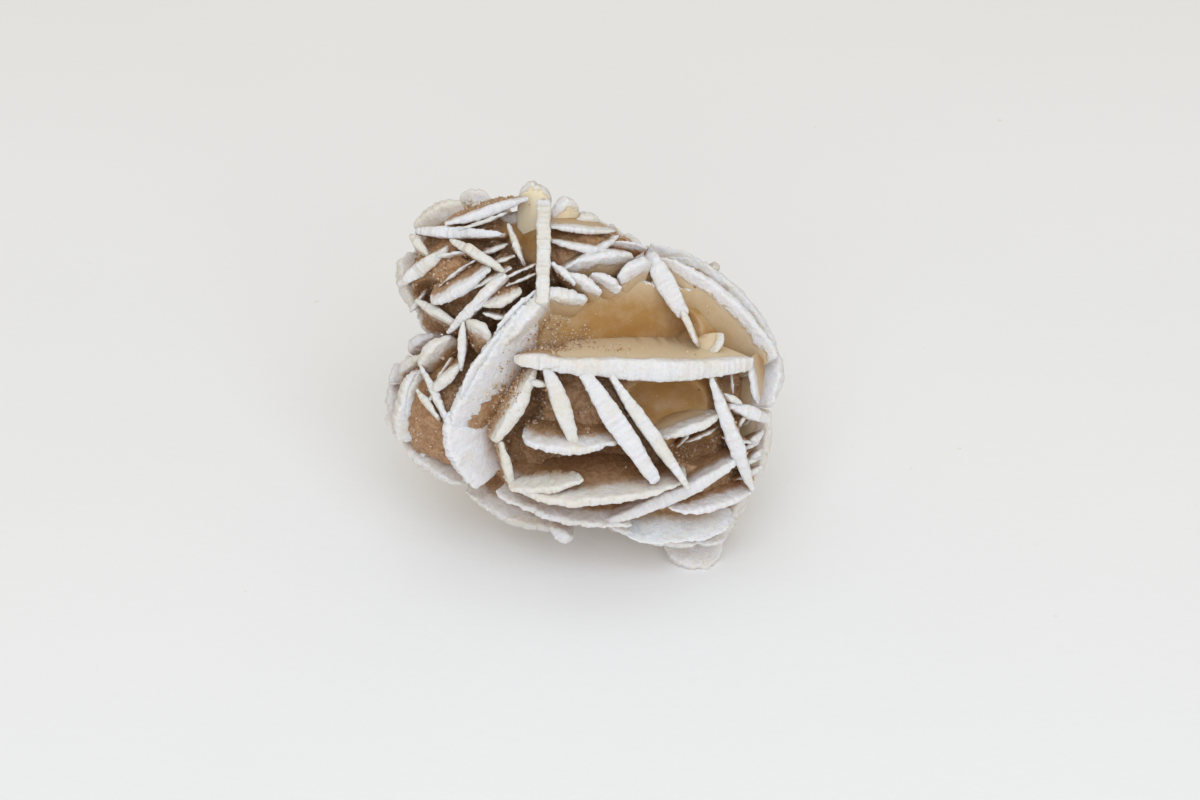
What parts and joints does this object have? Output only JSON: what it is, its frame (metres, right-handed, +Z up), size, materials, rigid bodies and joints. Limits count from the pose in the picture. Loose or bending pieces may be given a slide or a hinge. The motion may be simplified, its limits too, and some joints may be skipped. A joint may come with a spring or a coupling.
{
  "type": "gypsum sand rose",
  "caption": "Natural gypsum sand rose: lens-shaped chalky blades grown through each other round a sandy heart, resting on worn blade tips.",
  "frame": {"origin": "on the surface that the rose rests on, at the centre of its outline seen from above", "axes": "+Z up, +X to the right seen from the front, and -Y out of the front, towards which the rose's face leans back by 30 degrees"},
  "size_m": [0.0442, 0.0362, 0.0394],
  "materials": {
    "gypsum": "chalky, matt"
  },
  "bodies": {
    "root": {"sand_rose": "gypsum"}
  },
  "joints": []
}
